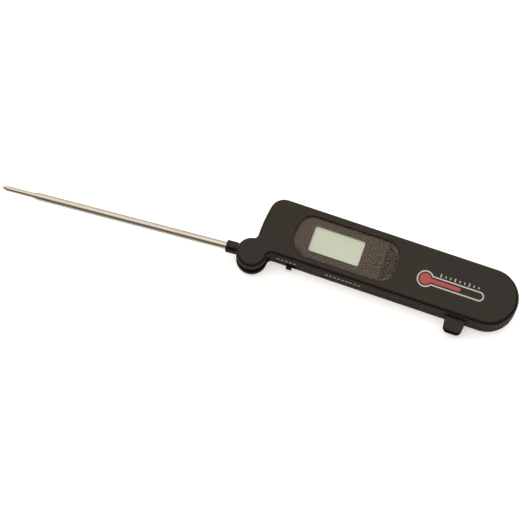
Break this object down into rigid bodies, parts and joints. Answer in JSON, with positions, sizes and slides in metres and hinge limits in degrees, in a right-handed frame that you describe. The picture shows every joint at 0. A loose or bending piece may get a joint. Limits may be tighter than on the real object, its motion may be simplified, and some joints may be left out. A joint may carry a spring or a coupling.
{
  "type": "meat thermometer",
  "caption": "Folding digital meat thermometer: a slim dark handle with a windowed display and a stainless probe that folds under it into a clip.",
  "frame": {"origin": "where the probe's pivot axis meets the handle's back face, the plane it lies on", "axes": "+X along the handle to its free end, +Y across it away from the folded probe, +Z out of the display face"},
  "size_m": [0.282, 0.0433, 0.016],
  "materials": {
    "case_plastic": "fine satin texture",
    "hub_plastic": "satin",
    "knob_plastic": "satin",
    "clear_acrylic": "gloss",
    "mask_ink": "printed from behind",
    "tape": "foam tape",
    "display_film": "satin film over grey-green",
    "display_glass": "polished",
    "display_reflector": "satin foil",
    "holder_plastic": "moulded",
    "conductive_rubber": "striped rubber",
    "board_laminate": "solder mask",
    "chip_epoxy": "poured epoxy",
    "ceramic": "ceramic",
    "plated_steel": "tin plate",
    "nickel": "nickel plate",
    "cell_sleeve": "shrink sleeve",
    "wire_insulation": "extruded",
    "stainless": "drawn tube",
    "sensor_glass": "coated bead",
    "potting": "cast epoxy",
    "washer_polymer": "smooth",
    "screw_steel": "zinc plate"
  },
  "bodies": {
    "handle": {"front_shell": "case_plastic", "back_shell": "case_plastic", "probe_clip": "case_plastic", "window_lens": "clear_acrylic", "lens_mask": "mask_ink", "lens_tape": "tape", "lcd_polariser": "display_film", "lcd_glass": "display_glass", "lcd_reflector": "display_reflector", "lcd_frame": "holder_plastic", "zebra_strips": "conductive_rubber", "circuit_board": "board_laminate", "chip_blob": "chip_epoxy", "smd_parts": "ceramic", "switch_body": "plated_steel", "battery_cell": "cell_sleeve", "battery_contact_positive": "nickel", "battery_contact_negative": "nickel", "battery_spring": "nickel", "battery_leads": "wire_insulation", "lead_wires": "wire_insulation", "friction_washer": "washer_polymer", "case_screws": "screw_steel", "board_screws": "screw_steel"},
    "probe": {"probe_hub": "hub_plastic", "probe_tube": "stainless", "probe_tip": "stainless", "sensor_bead": "sensor_glass", "tip_potting": "potting", "probe_wires": "wire_insulation"},
    "switch": {"switch_knob": "knob_plastic", "switch_lever": "knob_plastic"},
    "battery_door": {"battery_door": "case_plastic"}
  },
  "joints": [
    {"name": "probe_fold", "type": "hinge", "parent": "handle", "child": "probe", "pos_m": [0, 0, 0.008], "axis": [0, 0, 1], "range_deg": [-4, 175.93]},
    {"name": "switch_slide", "type": "slide", "parent": "handle", "child": "switch", "axis": [1, 0, 0], "range_m": [0, 0.002]},
    {"name": "battery_door_slide", "type": "slide", "parent": "handle", "child": "battery_door", "axis": [1, 0, 0], "range_m": [0, 0.052]}
  ]
}
